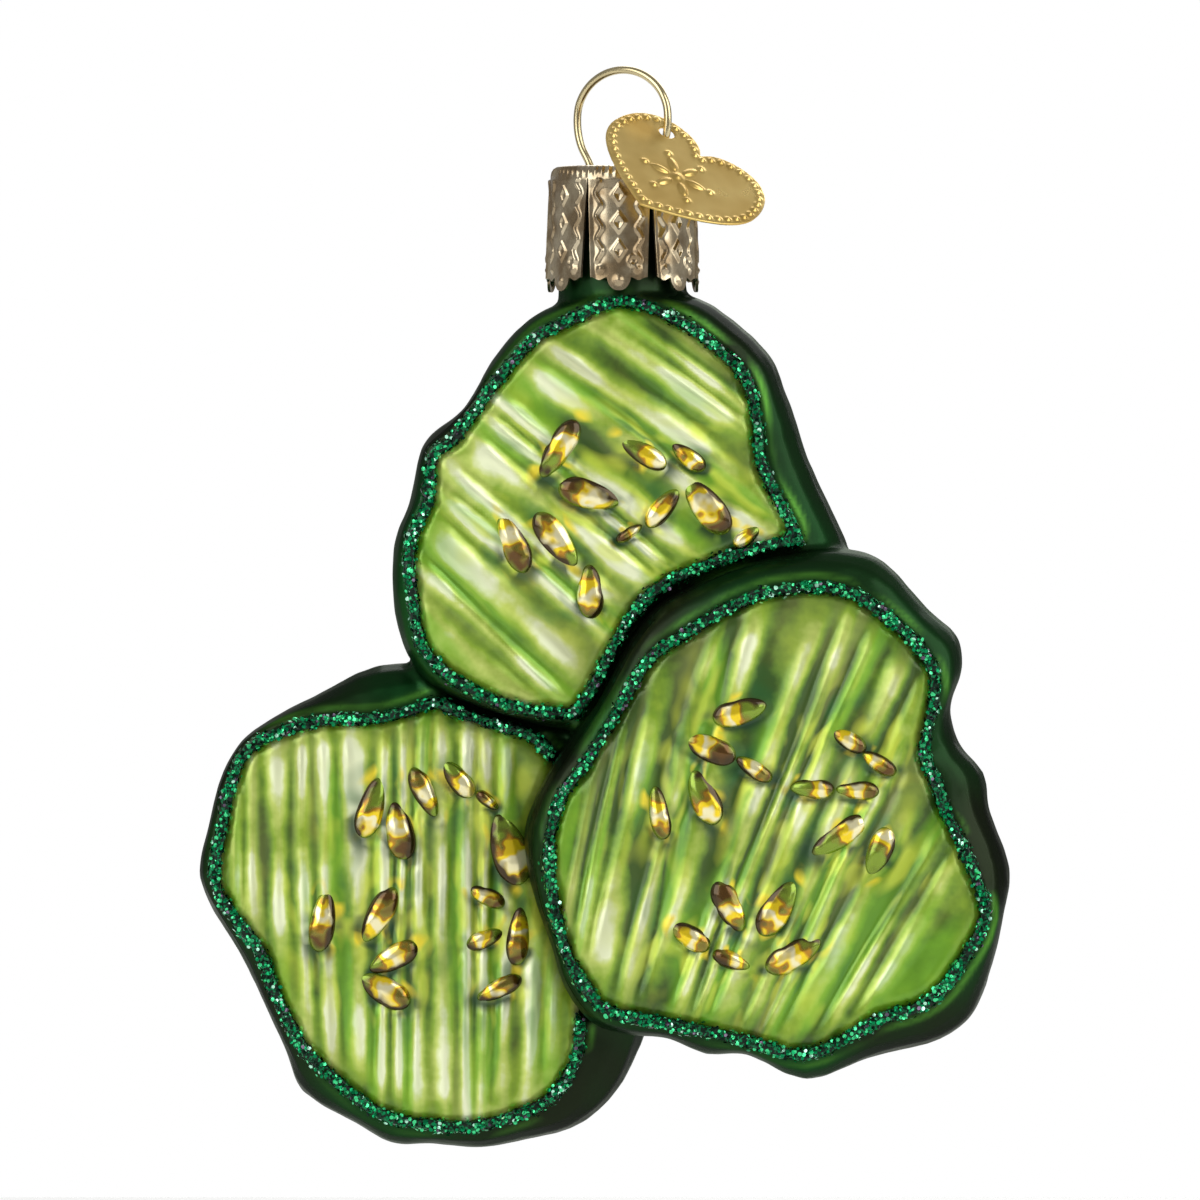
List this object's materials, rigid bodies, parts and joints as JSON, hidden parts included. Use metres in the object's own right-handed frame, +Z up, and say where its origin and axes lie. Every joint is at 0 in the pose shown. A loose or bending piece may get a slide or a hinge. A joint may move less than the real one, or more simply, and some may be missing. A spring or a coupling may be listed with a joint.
{
  "type": "blown glass hanging ornament of sliced vegetables",
  "caption": "Blown-glass hanging ornament of overlapping crinkle-cut pickle slices with glitter edges, metal crown cap, wire loop and heart tag.",
  "frame": {"origin": "inside top of the wire loop, where a hook carries the ornament", "axes": "+Z up along the cap's axis, -Y out of the front face, +X to the right as seen from the front"},
  "size_m": [0.073, 0.0255, 0.0977],
  "materials": {
    "green_glass": "glossy dark green lacquer over silvered blown glass",
    "face_lacquer": "pearly light green lacquer with darker streaks along the crinkles and gold and brown seeds",
    "glitter": "emerald glitter grains set in clear glue",
    "cap_metal": "champagne-coloured stamped sheet with wavy embossing",
    "wire_metal": "bright pale gold wire",
    "tag_metal": "gold stamped foil with a beaded border"
  },
  "bodies": {
    "hanger": {"hanger_wire": "wire_metal"},
    "cap": {"cap": "cap_metal"},
    "glass": {"glass_body": "green_glass", "right_lacquer_front": "face_lacquer", "right_glitter_front": "glitter", "right_lacquer_back": "face_lacquer", "right_glitter_back": "glitter", "top_lacquer_front": "face_lacquer", "top_glitter_front": "glitter", "top_lacquer_back": "face_lacquer", "top_glitter_back": "glitter", "left_lacquer_front": "face_lacquer", "left_glitter_front": "glitter", "left_lacquer_back": "face_lacquer", "left_glitter_back": "glitter"},
    "tag": {"heart_tag": "tag_metal"}
  },
  "joints": [
    {"name": "ornament_tilt", "type": "hinge", "parent": "hanger", "child": "cap", "pos_m": [0, 0, -0.0086], "axis": [0.8387, -0.5446, 0], "range_deg": [-6, 6]},
    {"name": "cap_swivel", "type": "hinge", "parent": "cap", "child": "glass", "pos_m": [0, 0, -0.0093], "axis": [0, 0, 1], "continuous": true},
    {"name": "tag_swing", "type": "hinge", "parent": "hanger", "child": "tag", "pos_m": [0.00398, -0.00258, -0.00548], "axis": [0, 0, 1], "range_deg": [-13, 61]}
  ]
}
